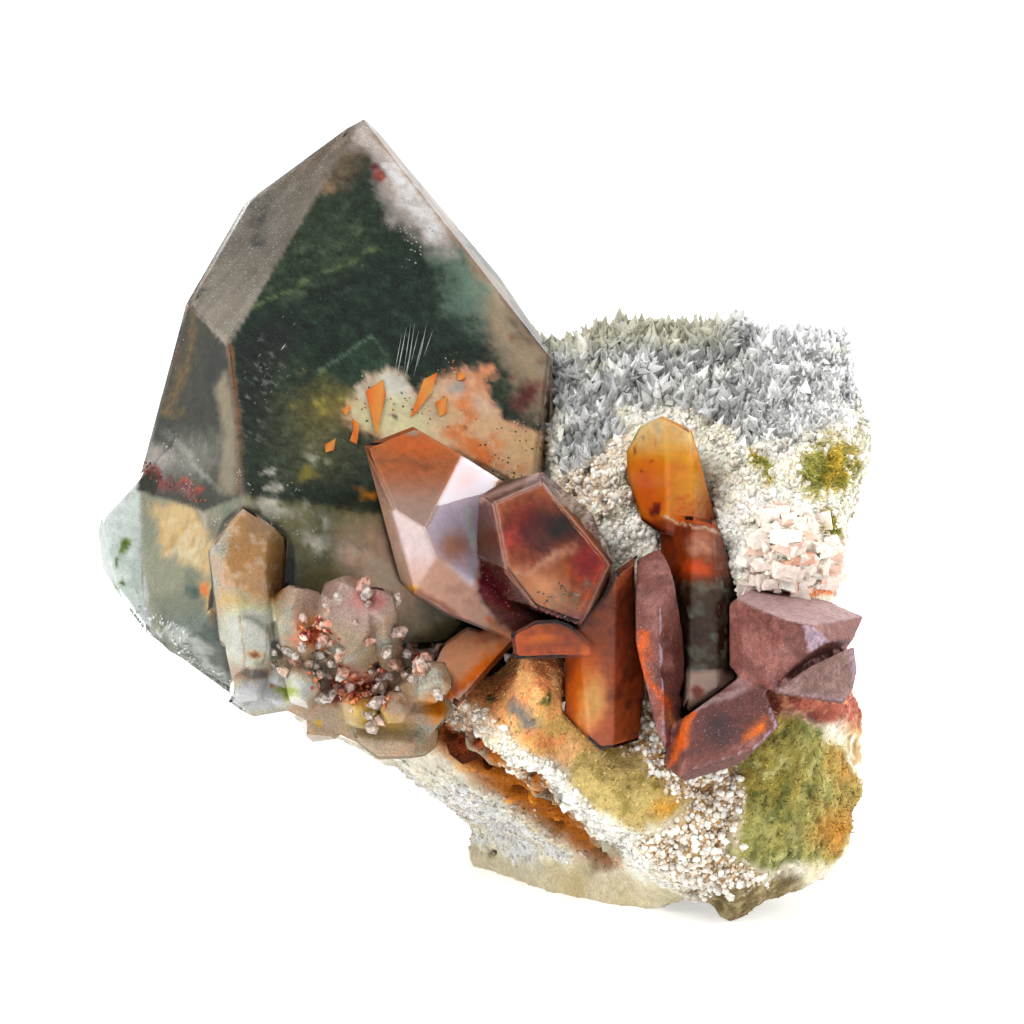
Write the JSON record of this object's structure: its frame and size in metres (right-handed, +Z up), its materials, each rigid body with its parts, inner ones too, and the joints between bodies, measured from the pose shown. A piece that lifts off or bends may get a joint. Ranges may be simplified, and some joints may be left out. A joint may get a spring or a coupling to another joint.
{
  "type": "chlorite quartz specimen",
  "caption": "Large chlorite-phantom quartz crystal with smaller pink, orange and purple-coated quartz crystals on a druse-covered vein rock; rests on its flat base.",
  "frame": {"origin": "middle of the bounding box, on the plane of the flat base", "axes": "+Z up, -Y towards the side that shows the crystals, +X to the viewer's right"},
  "size_m": [0.1, 0.0724, 0.099],
  "materials": {
    "vein_rock": "rough white, green and orange vein rock with a grey quartz druse",
    "green_quartz": "clear quartz with dark green chlorite inside",
    "pink_quartz": "clear pale pink quartz with red and brown inclusions",
    "amber_quartz": "brown-orange translucent quartz",
    "orange_quartz": "orange translucent quartz, reddish below",
    "purple_quartz": "quartz under a sandy purple-brown coating",
    "clear_quartz": "small clear, tan and reddish quartz crystals"
  },
  "bodies": {
    "root": {"matrix": "vein_rock", "main_crystal": "green_quartz", "pink_crystals": "pink_quartz", "amber_crystals": "amber_quartz", "orange_crystal": "orange_quartz", "purple_crystals": "purple_quartz", "small_crystals": "clear_quartz"}
  },
  "joints": []
}
